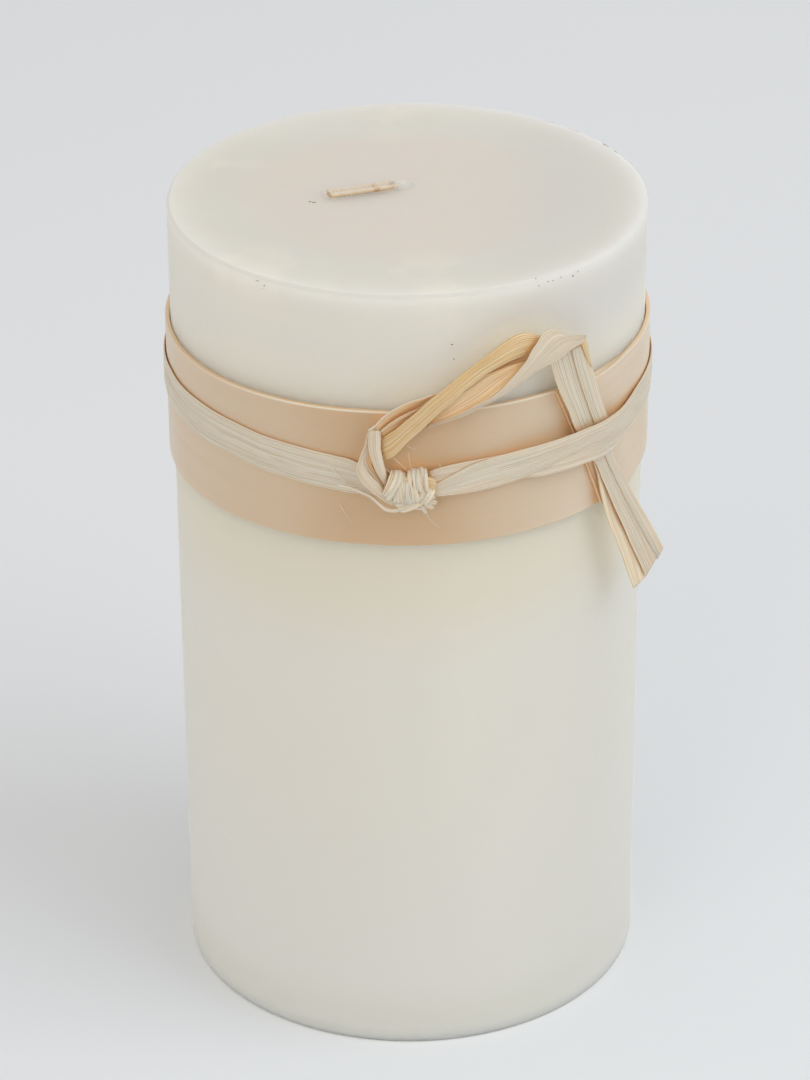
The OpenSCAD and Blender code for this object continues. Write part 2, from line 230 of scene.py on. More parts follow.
def curve(rows, per_span=24):
    """The smooth curve through the rows, as in part.scad."""
    last = len(rows) - 1
    made = []
    for i in range(last):
        a, b, c, d = rows[max(i - 1, 0)], rows[i], rows[i + 1], rows[min(i + 2, last)]
        t = np.arange(per_span)[:, None] / per_span
        made.append(b + (c - a) * t / 2 + (a - 2.5 * b + 2 * c - d / 2) * t**2
                    + (1.5 * b - a / 2 - 1.5 * c + d / 2) * t**3)
    return np.vstack(made + [rows[-1:]])


def evenly(rows, step):
    """Rows of a curve taken at equal distances along it, and those distances."""
    run = distance_along(spots(rows))
    count = max(4, int(round(run[-1] / step)) + 1)
    at = np.linspace(0, run[-1], count)
    return np.stack([np.interp(at, run, rows[:, k]) for k in range(rows.shape[1])], 1), at


def streaks(across, along, cell_across, cell_along, seed, sharp=False):
    """Value noise from -1 to 1 on cells of the given size across and along a strip."""
    a, b = across / cell_across, along / cell_along
    a, b = a - np.floor(a.min()), b - np.floor(b.min())
    grid = np.random.default_rng(seed).uniform(-1, 1, (int(b.max()) + 3, int(a.max()) + 3))
    ia, ib = a.astype(int), b.astype(int)
    ta, tb = a - ia, b - ib
    if not sharp:
        ta = smooth(ta)
    tb = smooth(tb)
    low = grid[ib, ia] * (1 - ta) + grid[ib, ia + 1] * ta
    high = grid[ib + 1, ia] * (1 - ta) + grid[ib + 1, ia + 1] * ta
    return low * (1 - tb) + high * tb


# ---- meshes
def mesh_object(name, verts_mm, faces, strip=None):
    """A smooth-shaded mesh object, and for its material the place across, the run along and the groove's depth."""
    mesh = bpy.data.meshes.new(name)
    faces = faces if isinstance(faces, list) else faces.tolist()
    mesh.from_pydata((np.asarray(verts_mm) * MM).tolist(), [], faces)
    mesh.polygons.foreach_set("use_smooth", np.ones(len(mesh.polygons), bool))
    if strip is not None:
        layer = mesh.attributes.new("strip", "FLOAT_VECTOR", "POINT")
        layer.data.foreach_set("vector", np.asarray(strip, np.float32).ravel())
    mesh.update()
    made = bpy.data.objects.new(name, mesh)
    bpy.context.scene.collection.objects.link(made)
    return made


def ring_faces(n, m):
    """Quads between n rings of m points each."""
    i, j = np.meshgrid(np.arange(n - 1), np.arange(m), indexing="ij")
    p, q = i * m + j, i * m + (j + 1) % m
    return np.stack([p, q, q + m, p + m], -1).reshape(-1, 4)


def tube(path, side, up, ring):
    """Points of the rings round a path, whose two radii are the vectors side and up."""
    a = np.linspace(0, 2 * math.pi, ring, endpoint=False)[None, :, None]
    return (path[:, None, :] + side[:, None, :] * np.cos(a) + up[:, None, :] * np.sin(a)).reshape(-1, 3)


def slab_faces(n, m, closed=False):
    """Quads of a slab: its upper side of n rings of m columns, its lower side in the same order, its edges."""
    under = n * m
    rings = n if closed else n - 1
    i, j = np.meshgrid(np.arange(rings), np.arange(m - 1), indexing="ij")
    a = (i * m + j).ravel()
    b = (((i + 1) % n) * m + j).ravel()
    quads = [np.stack([a, a + 1, b + 1, b], 1), np.stack([a + under, b + under, b + 1 + under, a + 1 + under], 1)]
    r = np.arange(rings)
    p, q = r * m, ((r + 1) % n) * m
    quads.append(np.stack([p, q, q + under, p + under], 1))
    p, q = p + m - 1, q + m - 1
    quads.append(np.stack([p, p + under, q + under, q], 1))
    if not closed:
        k = np.arange(m - 1)
        quads.append(np.stack([k, k + under, k + 1 + under, k + 1], 1))
        k = k + (n - 1) * m
        quads.append(np.stack([k, k + 1, k + 1 + under, k + under], 1))
    return np.concatenate(quads)


def sweep(centre, side, face, width, along_mm, across, thick, pleat=0.0, rib=0.0, cup=0.0, seed=0,
          closed=False, pleat_cell=0.9, stray=1.0):
    """Vertices, quads and strip coordinates of one ribbon of leaf; a closed one runs into itself.

    centre, side and face are its frame at each ring and width its width. pleat and rib are the heights of
    the broad and the fine fibres, cup bows it across, and stray lets the fibres wander.
    """
    n = len(centre)
    # Columns crowd towards the two edges
    crowd = math.pi / 2 * 0.92
    u = np.sin(np.linspace(-1, 1, across) * crowd) / math.sin(crowd)
    us, ss = np.meshgrid(u * width.max() / 2, along_mm)
    ragged = 1 + 0.03 * streaks(np.sign(us), ss, 1, 4, seed + 7)
    wide = u[None, :] * width[:, None] / 2 * ragged
    bow = cup * (u[None, :] ** 2 - 0.4) * width[:, None] / 2
    body = bow + pleat * streaks(us, ss, pleat_cell, 22, seed, sharp=True)
    wander = stray * (0.10 * streaks(us * 0, ss, 1, 12, seed + 3) + 0.12 * streaks(us, ss, 1.3, 17, seed + 4))
    phase = (us + wander) / RIDGE + 0.25
    which = np.floor(phase - phase.min()).astype(int)
    strength = np.random.default_rng(seed + 5).uniform(0.25, 1, which.max() + 1)[which]
    ridge = np.sqrt(np.abs(np.sin(math.pi * phase)))
    fine = rib * strength * (ridge - 0.75) + rib * 0.3 * streaks(us, ss, 0.2, 5, seed + 2)
    groove = strength * (1 - ridge) ** 1.4
    edge = np.sqrt(np.clip(1 - np.abs(u) ** 10, 0, 1)) * 0.85 + 0.15
    half = thick / 2 * edge[None, :]
    base = centre[:, None, :] + side[:, None, :] * wide[..., None]
    top = base + face[:, None, :] * (body + half + fine)[..., None]
    low = base + face[:, None, :] * (body - half + fine * 0.4)[..., None]
    verts = np.concatenate([top.reshape(-1, 3), low.reshape(-1, 3)])
    strip = np.stack([us + seed % 17, ss, groove], -1).reshape(-1, 3)
    strip = np.concatenate([strip, strip + [0.7, 3.0, 0]])
    return verts, slab_faces(n, across, closed), strip


def join(parts):
    """Several swept ribbons as one set of vertices, quads and strip coordinates."""
    verts, quads, strips, count = [], [], [], 0
    for v, q, s in parts:
        verts.append(v)
        quads.append(q + count)
        strips.append(s)
        count += len(v)
    return np.concatenate(verts), np.concatenate(quads), np.concatenate(strips)


def two_edges(rows, step=0.4, thick=0.3, **looks):
    """A ribbon of raffia leaf between two edges."""
    rows = curve(rows)
    first, second = spots(rows[:, :3]), spots(rows[:, 3:])
    centre = (first + second) / 2
    run = distance_along(centre)
    at = np.linspace(0, run[-1], max(6, int(run[-1] / step)))
    first, second = (np.stack([np.interp(at, run, e[:, k]) for k in range(3)], 1) for e in (first, second))
    centre = (first + second) / 2
    along = unit(np.gradient(centre, axis=0))
    out = centre * [1, 1, 0]
    if (np.cross(second - first, along) * out).sum() < 0:
        first, second = second, first
    width = np.linalg.norm(second - first, axis=1)
    side = (second - first) / width[:, None]
    face = unit(np.cross(side, along))
    across = max(8, int(width.max() * COLUMNS))
    return sweep(centre, side, face, width, at, across, thick, **looks)


def fibre(rows, radius=0.06):
    """A loose fibre of raffia that thins towards its end."""
    points = spots(curve(rows, 10))
    along = unit(np.gradient(points, axis=0))
    side = unit(np.cross(along, [0.3, 0.5, 0.8]))
    size = radius * np.linspace(1, 0.45, len(points))[:, None]
    verts = tube(points, side * size, np.cross(along, side) * size, 6)
    caps = np.array([[0, 5, 4, 1], [1, 4, 3, 2]])
    far = caps[:, ::-1] + len(verts) - 6
    return verts, np.concatenate([ring_faces(len(points), 6), caps, far]), np.zeros_like(verts)


def leaf(rows, step, across, thick, **looks):
    """A ribbon of raffia leaf along rows of azimuth, height, standoff, width and the azimuth that it faces."""
    rows, along_mm = evenly(curve(rows), step)
    centre = spots(rows)
    along = unit(np.gradient(centre, axis=0))
    side = unit(np.cross(along, outward(rows[:, 4])))
    return sweep(centre, side, np.cross(side, along), rows[:, 3], along_mm, across, thick, **looks)


# ---- materials
class Nodes:
    """Short calls for a material's node tree."""

    def __init__(self, name):
        self.material = bpy.data.materials.new(name)
        self.material.use_nodes = True
        self.tree = self.material.node_tree
        self.shader = self.tree.nodes["Principled BSDF"]

    def node(self, kind, **values):
        made = self.tree.nodes.new(kind)
        for key, value in values.items():
            if hasattr(made, key):
                setattr(made, key, value)
            else:
                made.inputs[key.replace("_", " ")].default_value = value
        return made

    def link(self, source, target):
        self.tree.links.new(source, target)

    def noise(self, vector, scale, detail=3.0, rough=0.55):
        made = self.node("ShaderNodeTexNoise", Scale=scale, Detail=detail, Roughness=rough)
        self.link(vector, made.inputs["Vector"])
        return made.outputs["Fac"]

    def stretch(self, vector, scale):
        made = self.node("ShaderNodeMapping")
        made.inputs["Scale"].default_value = scale
        self.link(vector, made.inputs["Vector"])
        return made.outputs["Vector"]

    def ramp(self, fac, stops):
        made = self.node("ShaderNodeValToRGB")
        cells = made.color_ramp.elements
        while len(cells) < len(stops):
            cells.new(0.5)
        for cell, (place, colour) in zip(cells, stops):
            cell.position = place
            cell.color = (*colour, 1)
        self.link(fac, made.inputs["Fac"])
        return made.outputs["Color"]

    def level(self, value, low, high, to_low=0.0, to_high=1.0):
        made = self.node("ShaderNodeMapRange", interpolation_type="SMOOTHSTEP")
        for key, number in (("From Min", low), ("From Max", high), ("To Min", to_low), ("To Max", to_high)):
            made.inputs[key].default_value = number
        self.link(value, made.inputs["Value"])
        return made.outputs["Result"]

    def feed(self, value, socket):
        """Put a number, a colour or another node's output into a socket."""
        if isinstance(value, (int, float)):
            socket.default_value = value
        elif isinstance(value, tuple):
            socket.default_value = (*value, 1)
        else:
            self.link(value, socket)

    def maths(self, how, a, b=None):
        made = self.node("ShaderNodeMath", operation=how)
        self.feed(a, made.inputs[0])
        if b is not None:
            self.feed(b, made.inputs[1])
        return made.outputs["Value"]

    def times(self, a, b):
        return self.maths("MULTIPLY", a, b)

    def window(self, value, low, high, top, end):
        """1 where the value lies between high and top, fading to 0 at low and at end."""
        return self.times(self.level(value, low, high), self.level(value, end, top))

    def mix(self, fac, a, b):
        """The colour a, taken towards the colour b by the factor."""
        made = self.node("ShaderNodeMix", data_type="RGBA")
        for place, value in (("Factor", fac), (6, a), (7, b)):
            self.feed(value, made.inputs[place])
        return made.outputs[2]

    def split(self, vector):
        """The X, Y and Z of a vector."""
        made = self.node("ShaderNodeSeparateXYZ")
        self.link(vector, made.inputs["Vector"])
        return [made.outputs[axis] for axis in "XYZ"]

    def place(self):
        return self.node("ShaderNodeTexCoord").outputs["Object"]

    def strip(self):
        return self.node("ShaderNodeAttribute", attribute_name="strip").outputs["Vector"]

    def facing_up(self):
        """How far the surface faces upwards, from -1 to 1."""
        return self.split(self.node("ShaderNodeNewGeometry").outputs["Normal"])[2]

    def paint(self, colour, rough):
        self.link(colour, self.shader.inputs["Base Color"])
        self.link(rough, self.shader.inputs["Roughness"])

    def bump(self, height, strength, distance):
        made = self.node("ShaderNodeBump", Strength=strength, Distance=distance)
        self.link(height, made.inputs["Height"])
        self.link(made.outputs["Normal"], self.shader.inputs["Normal"])

    def painted_gap_glow(self, colour, tint, reach, amount):
        """The colour, mixed towards a tint where other surfaces stand within reach: painted glow and shade in the
        gaps, standing in for light that comes through the nearby parts.
        """
        near = self.node("ShaderNodeAmbientOcclusion", samples=6, Distance=reach)
        return self.mix(self.times(self.level(near.outputs["AO"], 0.9, 0.25), amount), colour, tint)

    def set(self, **values):
        for key, value in values.items():
            self.shader.inputs[key.replace("_", " ")].default_value = value


def wax_material():
    """Frosted wax with clouds and drips; heights and radii below are metres, colours are linear."""
    w = Nodes("wax")
    place = w.place()
    x, y, z = w.split(place)
    clouds = w.noise(place, 26, 4)
    drips = w.noise(w.stretch(place, (1, 1, 0.16)), 62, 3)
    frost = w.noise(place, 420, 5, 0.65)
    body = w.ramp(clouds, [(0.3, (0.68, 0.655, 0.585)), (0.7, (0.71, 0.69, 0.635))])
    body = w.mix(w.level(drips, 0.54, 0.68, 0, 0.7), body, (0.75, 0.715, 0.63))
    # Rosier in the middle of the top
    radius = w.maths("SQRT", w.maths("ADD", w.times(x, x), w.times(y, y)))
    on_top = w.level(z, (WAX_H - 1.5) * MM, (WAX_H - 0.6) * MM)
    middle = w.level(w.maths("ADD", radius, w.times(clouds, 0.008)), 0.034, 0.027)
    body = w.mix(w.times(on_top, w.times(middle, 0.75)), body, (0.725, 0.65, 0.58))
    # The side below the rim, then cooler towards the foot
    body = w.mix(w.level(z, 0.1465, 0.1405, 0, 0.75), body, (0.745, 0.72, 0.65))
    body = w.mix(w.level(z, 0.07, 0.01, 0, 0.7), body, (0.715, 0.7, 0.66))
    # Painted shade on the rounded rim, by which way the surface faces; then painted shade at the foot, and a line
    # of painted light under its edge
    body = w.mix(w.times(w.window(w.facing_up(), 0.02, 0.45, 0.88, 0.998), 0.62), body, (0.56, 0.54, 0.485))
    body = w.mix(w.level(z, 0.014, 0.002, 0, 0.6), body, (0.67, 0.65, 0.565))
    body = w.mix(w.level(z, 0.0020, 0.0009, 0, 0.9), body, (0.93, 0.87, 0.74))
    # Painted shade on the side at +X, greyest below the rim
    body = w.mix(w.level(x, 0.012, 0.04, 0, 0.6), body, (0.675, 0.65, 0.59))
    corner = w.times(w.level(x, 0.006, 0.03), w.level(z, 0.13, 0.142))
    body = w.mix(w.times(corner, 0.8), body, (0.65, 0.63, 0.59))
    # Painted light and shade on the wax round the band: a warm glow above it, as if light came through the band,
    # and darker painted shade below it
    band_glow_shade_mask = w.window(z, 0.075, 0.1, 0.126, 0.139)
    band_glow_shade_tone = w.mix(w.level(z, 0.1, 0.12), (0.73, 0.67, 0.52), (0.79, 0.73, 0.6))
    body = w.mix(w.times(band_glow_shade_mask, 0.68), body, band_glow_shade_tone)
    # Painted light: paler, warmer wax where other parts stand close, standing in for light through the wax
    body = w.painted_gap_glow(body, (1.0, 0.95, 0.83), 0.009, 0.9)
    w.paint(body, w.level(frost, 0.3, 0.7, 0.5, 0.68))
    w.bump(w.maths("ADD", w.times(frost, 0.5), w.times(drips, 1.2)), 0.25, 0.0004)
    w.set(Subsurface_Weight=1.0, Subsurface_Radius=(1.0, 0.96, 0.92), Subsurface_Scale=0.012)
    w.set(IOR=1.44, Specular_IOR_Level=0.25)
    return w.material


def raffia_material(name, pale, deep, vein, seam=0.85):
    """Raffia in a pale, a deep and a vein colour, with painted shade in its grooves and a painted warm glow in its
    gaps, as strong as seam.
    """
    r = Nodes(name)
    strip = r.strip()
    groove = r.split(strip)[2]
    strip = r.stretch(strip, (1, 1, 0))
    broad = r.noise(r.stretch(strip, (1.1, 0.03, 1.0)), 1.2, 3)
    fine = r.noise(r.stretch(strip, (1.0, 0.022, 1.0)), 7.0, 4, 0.6)
    slow = r.noise(r.stretch(strip, (0.15, 0.06, 1.0)), 1.0, 2)
    colour = r.mix(r.level(broad, 0.35, 0.68), pale, deep)
    colour = r.mix(r.level(fine, 0.56, 0.74, 0, 0.6), colour, vein)
    colour = r.mix(r.level(slow, 0.4, 0.75, 0, 0.35), colour, deep)
    # Painted shade in the grooves between the ribs
    colour = r.mix(r.level(groove, 0.0, 0.42, 0, 0.75), colour, vein)
    # Painted warm glow and shade in the gaps between the leaves
    colour = r.painted_gap_glow(colour, (0.8, 0.47, 0.19), 0.0022, seam)
    r.paint(colour, r.level(fine, 0.3, 0.7, 0.36, 0.55))
    r.bump(r.maths("ADD", r.times(fine, 0.7), broad), 0.55, 0.00016)
    r.set(Subsurface_Weight=0.35, Subsurface_Radius=(1.0, 0.6, 0.28), Subsurface_Scale=0.0012)
    r.set(Sheen_Weight=0.15, Specular_IOR_Level=0.4)
    return r.material


def veneer_material():
    """Veneer whose grain follows the strip; run is millimetres from the seam, the way the strip is wound."""
    v = Nodes("veneer")
    strip = v.strip()
    grain = v.noise(v.stretch(strip, (0.9, 0.02, 1.0)), 1.4, 4)
    pores = v.noise(v.stretch(strip, (1.0, 0.05, 1.0)), 9.0, 3, 0.6)
    cloud = v.noise(v.stretch(strip, (0.05, 0.03, 1.0)), 1.0, 2)
    across, run = v.split(strip)[:2]
    colour = v.mix(v.level(grain, 0.35, 0.7, 0, 0.4), (0.71, 0.575, 0.44), (0.665, 0.515, 0.37))
    colour = v.mix(v.level(cloud, 0.35, 0.7, 0, 0.4), colour, (0.74, 0.615, 0.485))
    # Painted warm shade at the front, round the knot: the band deeper and redder there
    for stretch, tone in (((176, 208, 246, 268), (0.61, 0.455, 0.3)),
                          ((205, 224, 234, 250), (0.56, 0.36, 0.185))):
        colour = v.mix(v.times(v.window(run, *stretch), 0.6), colour, tone)
    colour = v.mix(v.level(pores, 0.62, 0.78, 0, 0.25), colour, (0.62, 0.44, 0.28))
    # Painted highlight along the upper edge, strongest towards the front
    edge = v.level(across, 0.45 - BAND_H / 2, 0.1 - BAND_H / 2)
    edge_highlight_amount = v.level(run, 185, 212, 0.2, 0.75)
    colour = v.mix(v.times(edge, edge_highlight_amount), colour, (0.84, 0.76, 0.64))
    # Painted light: paler in two places, where the band turns away on the left and on the right
    for stretch in ((150, 160, 172, 184), (22, 30, 44, 52)):
        colour = v.mix(v.times(v.window(run, *stretch), 0.55), colour, (0.76, 0.69, 0.6))
    # Painted orange glow in the shade of the gaps round the band, kept off the highlighted upper edge
    colour = v.mix(edge, v.painted_gap_glow(colour, (0.97, 0.6, 0.3), 0.004, 0.8), colour)
    # The cut end at the seam: its brown is painted shade of the gap at the step
    colour = v.mix(v.level(run, 0.5, 0.05), colour, (0.55, 0.27, 0.09))
    v.paint(colour, v.level(pores, 0.3, 0.7, 0.5, 0.65))
    v.bump(v.maths("ADD", v.times(pores, 0.4), grain), 0.3, 0.00012)
    v.set(Subsurface_Weight=0.3, Subsurface_Radius=(1.0, 0.65, 0.4), Subsurface_Scale=0.002)
    v.set(Specular_IOR_Level=0.3)
    return v.material


def wick_material():
    """Waxed cotton with three scorched or stained places along the tip."""
    k = Nodes("waxed_wick")
    place = k.place()
    yarn = k.noise(place, 2600, 3)
    stain = k.noise(place, 330, 2)
    upward = k.facing_up()
    colour = k.mix(k.level(yarn, 0.35, 0.65), (0.8, 0.63, 0.45), (0.72, 0.55, 0.38))
    along = k.node("ShaderNodeVectorMath", operation="DOT_PRODUCT")
    along.inputs[1].default_value = (TIP_AWAY[0] / MM, TIP_AWAY[1] / MM, 0)
    k.link(place, along.inputs[0])
    ahead = k.maths("SUBTRACT", along.outputs["Value"], float(WICK_ROOT @ TIP_AWAY))
    ahead = k.maths("ADD", ahead, stain)
    # Millimetres from the root, and how strong
    for stretch, amount in (((4.6, 5.1, 5.3, 6.2), 0.9), ((1.6, 2.0, 2.4, 2.9), 0.6),
                            ((13.0, 13.4, 14.5, 15.0), 0.5)):
        colour = k.mix(k.times(k.window(ahead, *stretch), amount), colour, (0.6, 0.34, 0.17))
    # Paler on faces that look up: painted light from above
    colour = k.mix(k.level(upward, 0.35, 0.9, 0, 0.6), colour, (0.78, 0.69, 0.59))
    k.paint(colour, k.level(yarn, 0.3, 0.7, 0.4, 0.6))
    k.bump(yarn, 0.4, 0.0001)
    k.set(Subsurface_Weight=0.3, Subsurface_Radius=(1.0, 0.6, 0.35), Subsurface_Scale=0.0008)
    return k.material


def plain_material(name, scale, detail, stops, rough, depth, squash=(1, 1, 1), **values):
    """A material of two tones and two roughnesses on one noise, with a little relief."""
    made = Nodes(name)
    place = made.place()
    tone = made.noise(place if squash == (1, 1, 1) else made.stretch(place, squash), scale, detail)
    made.paint(made.ramp(tone, stops), made.level(tone, 0.3, 0.7, *rough))
    made.bump(tone, *depth)
    made.set(**values)
    return made.material


def steel_material():
    return plain_material("tinned_steel", 120, 4, [(0.3, (0.62, 0.62, 0.63)), (0.7, (0.74, 0.74, 0.75))],
                          (0.28, 0.45), (0.2, 0.00005), squash=(1, 14, 1), Metallic=1.0)


def glue_material():
    return plain_material("dried_glue", 300, 3, [(0.3, (0.72, 0.62, 0.42)), (0.7, (0.82, 0.74, 0.55))],
                          (0.25, 0.5), (0.3, 0.0001))


# Dark grains: real dirt on the wax's top and side, and painted shade in the rim's small chips
def dirt_and_shade_material():
    return plain_material("dirt", 500, 3, [(0.35, (0.2, 0.18, 0.12)), (0.7, (0.42, 0.38, 0.27))],
                          (0.6, 0.85), (0.5, 0.0001))


def floor_material():
    f = Nodes("floor")
    tone = f.ramp(f.noise(f.place(), 3, 2), [(0.3, (0.795, 0.815, 0.845)), (0.7, (0.805, 0.825, 0.855))])
    f.link(tone, f.shader.inputs["Base Color"])
    f.set(Roughness=0.7, Specular_IOR_Level=0.2)
    return f.material


def finish_piece(made, material, body, nodes=()):
    """Give a piece its material, the body that it rides on and the CAD nodes that it replaces."""
    made.data.materials.append(material)
    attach(made, body)
    if nodes:
        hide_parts(*nodes)
    return made


# ---- wax
# Where the wick comes up, and the directions along and across its folded tip
TIP_DIR = math.radians(198.5)
WICK_ROOT = np.array([-1.1, 3.4])
TIP_AWAY = np.array([math.cos(TIP_DIR), math.sin(TIP_DIR)])
TIP_ACROSS = np.array([-TIP_AWAY[1], TIP_AWAY[0]])
# Start and end of its groove from there, the tip's width and thickness, the groove's depth and play
TIP_FROM, TIP_TO = -0.6, 13.25
WICK_W, WICK_T = 2.4, 1.1
GROOVE_DEPTH, GROOVE_PLAY = 0.42, 0.12
FILLET = 0.52
# Chips in the rim and pits in the top: azimuth, distance from the axis, width and depth
DENTS = rows_of("""
    145 41.2 0.9 0.5, 139 41.3 1.2 0.6, 127 41.2 1.1 0.55, 122 41.3 0.9 0.5, 60 36 0.5 0.3, 52 37 0.45 0.3,
    -38 40.5 0.5 0.3, -170 41.3 1.4 0.35, 15 41.3 1.6 0.25""")


def top_height(x, y):
    """Height of the wax's top face: slightly dished, with the wick's groove, its wax fillet and small pits."""
    height = WAX_H - 0.25 * np.exp(-((np.hypot(x, y) / 24) ** 4))
    height = height + 0.07 * streaks(x + 50, y + 50, 9, 9, 31) + 0.03 * streaks(x + 50, y + 50, 3, 3, 32)
    dx, dy = x - WICK_ROOT[0], y - WICK_ROOT[1]
    s = dx * TIP_AWAY[0] + dy * TIP_AWAY[1]
    v = dx * TIP_ACROSS[0] + dy * TIP_ACROSS[1]
    off_s = np.maximum(np.maximum(TIP_FROM - s, s - TIP_TO), 0)
    off_v = np.maximum(np.abs(v) - WICK_W / 2 - GROOVE_PLAY, 0)
    away = np.hypot(off_s, off_v)
    height = height + FILLET * np.exp(-away / 0.7)
    inside = np.clip(1 - away / 0.14, 0, 1)
    height = height * (1 - inside) + (WAX_H - GROOVE_DEPTH) * inside
    # Wax that was poured over the place where the wick comes up
    mound = np.clip(1.3 - np.hypot((s - 0.2) / 2.3, v / 1.8), 0, 1)
    height = np.maximum(height, WAX_H + 1.02 * smooth(mound) - 0.05)
    for az, rad, wide, deep in DENTS:
        dent = outward(az) * rad
        gap = (x - dent[0]) ** 2 + (y - dent[1]) ** 2
        height = height - deep * np.exp(-gap / (wide * 0.6) ** 2)
    return height


def wax_body():
    """The pillar as one closed mesh turned about Z, with gentle unevenness and a worked top."""
    turns = 384
    # Radius of the rim and of the foot's edge
    ease = 0.8
    az = np.linspace(0, 2 * math.pi, turns, endpoint=False)
    corner = np.radians(np.linspace(0, 90, 7))[1:]
    foot_r = [0.5, 6, 14, 24, 32, 38, WAX_R - ease]
    rise = np.linspace(ease, WAX_H - ease, 120)[1:-1]
    # The top has finer rings near the wick
    top_r = np.concatenate([np.arange(0.35, 17, 0.35), np.arange(17, WAX_R - ease, 0.8)])[::-1]
    radii = np.concatenate([foot_r, WAX_R - ease + ease * np.sin(corner), np.full(len(rise), WAX_R),
                            WAX_R - ease + ease * np.cos(corner), top_r])
    z = np.concatenate([np.zeros(len(foot_r)), ease * (1 - np.cos(corner)), rise,
                        WAX_H - ease + ease * np.sin(corner), np.full(len(top_r), WAX_H)])
    rr, aa = np.meshgrid(radii, az, indexing="ij")
    zz = np.repeat(z[:, None], turns, 1)
    ax, ay = np.cos(aa), np.sin(aa)
    wobble = streaks(ax * 40 + 50, zz, 16, 24, 41) * 0.5 + streaks(ay * 40 + 50, zz, 13, 20, 42) * 0.5
    on_side = np.clip(np.minimum(zz, WAX_H - zz) / 6, 0.25, 1) * (rr > WAX_R - ease)
    rr = rr - (0.05 + 0.05 * wobble) * on_side
    xx, yy = rr * ax, rr * ay
    top = zz > WAX_H - ease - 0.01
    lift = top_height(xx, yy) - WAX_H
    zz = np.where(top, zz + lift, zz)
    verts = np.stack([xx, yy, zz], -1).reshape(-1, 3)
    n = len(radii)
    quads = ring_faces(n, turns)
    foot = len(verts)
    pole = np.zeros((1, 1))
    verts = np.vstack([verts, [0, 0, 0], [0, 0, float(top_height(pole, pole)[0, 0])]])
    k = np.arange(turns)
    low = np.stack([np.full(turns, foot), (k + 1) % turns, k], 1)
    high = np.stack([np.full(turns, foot + 1), (n - 1) * turns + k, (n - 1) * turns + (k + 1) % turns], 1)
    return mesh_object("wax_body", verts, quads.tolist() + low.tolist() + high.tolist())


# Specks on the wax's top: X, Y, length, width and turn. Dark flecks of painted shade in small chips of the rim:
# azimuth and length, all
#  of one width and at one distance from the axis. Specks on the side: azimuth, height, length and width.
FLECK_W, FLECK_R = 0.35, 40.95
CRUMBS = rows_of("""
    -16.6 -3.1 0.6 0.3 10, -15.9 -3.4 1 0.16 -8, 21 -34.6 0.34 0.3 0""")
RIM_SHADE_FLECKS = rows_of("""
    142.5 1.6, 141 0.8, 134.5 0.6, 132.5 1.4, 122 0.8, 120.5 1.5, 116.7 1""")
SIDE_SPECKS = rows_of("""
    31.5 146.9 0.35 0.3, 34 147.2 0.55 0.18, 35.4 147.1 0.35 0.2, 37.7 147.2 0.5 0.18, 41.4 146.7 0.7 0.3,
    43 147.1 0.45 0.25, -34.8 146.6 0.25 0.5, -35.4 145.9 0.2 0.25, -36.8 147.1 1 0.16, 10.1 138.9 0.5 0.2,
    10.5 136.3 0.22 0.35""")


def crumb(centre, along, face, long, wide, seed):
    """A flat irregular grain half sunk in the surface whose outward line is face."""
    ring, bands = 9, 4
    half = face * 0.07
    side = np.cross(face, along)
    rng = np.random.default_rng(seed)
    verts = []
    for k in range(1, bands):
        a = math.pi * k / bands
        for j in range(ring):
            b = 2 * math.pi * j / ring
            size = rng.uniform(0.75, 1.15)
            verts.append(centre + size * (along * long / 2 * math.sin(a) * math.cos(b)
                                          + side * wide / 2 * math.sin(a) * math.sin(b)) + half * math.cos(a))
    verts = [centre + half] + verts + [centre - half]
    last = len(verts) - 1
    faces = [[0, 1 + j, 1 + (j + 1) % ring] for j in range(ring)]
    faces += [[last, last - 1 - j, last - 1 - (j + 1) % ring] for j in range(ring)]
    return verts, faces + (1 + ring_faces(bands - 1, ring)[:, [0, 3, 2, 1]]).tolist()


def wax_specks():
    """Grains of dirt on the wax's top and side, and dark flecks of painted shade in small chips of the rim."""
    up = np.array([0, 0, 1.0])
    grains = [(np.array([x, y, WAX_H]), outward(90 + turn), up, long, wide) for x, y, long, wide, turn in CRUMBS]
    grains += [(outward(az) * FLECK_R + up * (WAX_H - 0.22), outward(90 + az), unit(outward(az) + up),
                long, FLECK_W) for az, long in RIM_SHADE_FLECKS]
    grains += [(outward(az) * (WAX_R - 0.05) + up * z, outward(90 + az), outward(az), long, wide)
               for az, z, long, wide in SIDE_SPECKS]
    verts, faces = [], []
    for k, grain in enumerate(grains):
        v, f = crumb(*grain, seed=700 + k)
        faces += [[i + len(verts) for i in poly] for poly in f]
        verts += v
    return mesh_object("wax_specks", verts, faces)


